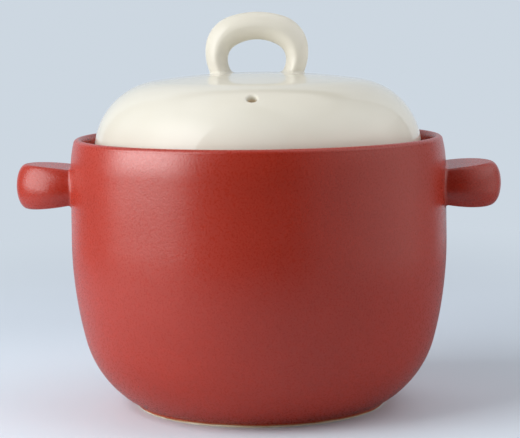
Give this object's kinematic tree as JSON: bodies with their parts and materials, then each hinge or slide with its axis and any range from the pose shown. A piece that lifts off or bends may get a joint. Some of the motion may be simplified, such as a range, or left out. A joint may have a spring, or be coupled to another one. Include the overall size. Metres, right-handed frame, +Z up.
{
  "type": "covered clay cooking pot",
  "caption": "Round-bottomed stoneware pot with solid side ears, a rolled rim with a lid gallery, and a domed lid with a loop handle and a steam hole.",
  "frame": {"origin": "on the table, at the middle of the foot ring", "axes": "+Z up, the two ears stand out along +X and -X, the steam hole of the lid faces -Y"},
  "size_m": [0.2724, 0.21, 0.2192],
  "materials": {
    "red_glaze": "satin brick-red glaze with a fine orange-peel grain",
    "cream_glaze": "clear, glossy ivory glaze",
    "bare_clay": "unglazed fired clay"
  },
  "bodies": {
    "pot": {"pot_body": "red_glaze", "foot_ring": "bare_clay", "left_ear": "red_glaze", "right_ear": "red_glaze"},
    "lid": {"lid_dome": "cream_glaze", "lid_loop": "cream_glaze"}
  },
  "joints": [
    {"name": "lid_lift", "type": "slide", "parent": "pot", "child": "lid", "axis": [0, 0, 1], "range_m": [0, 0.08]}
  ]
}
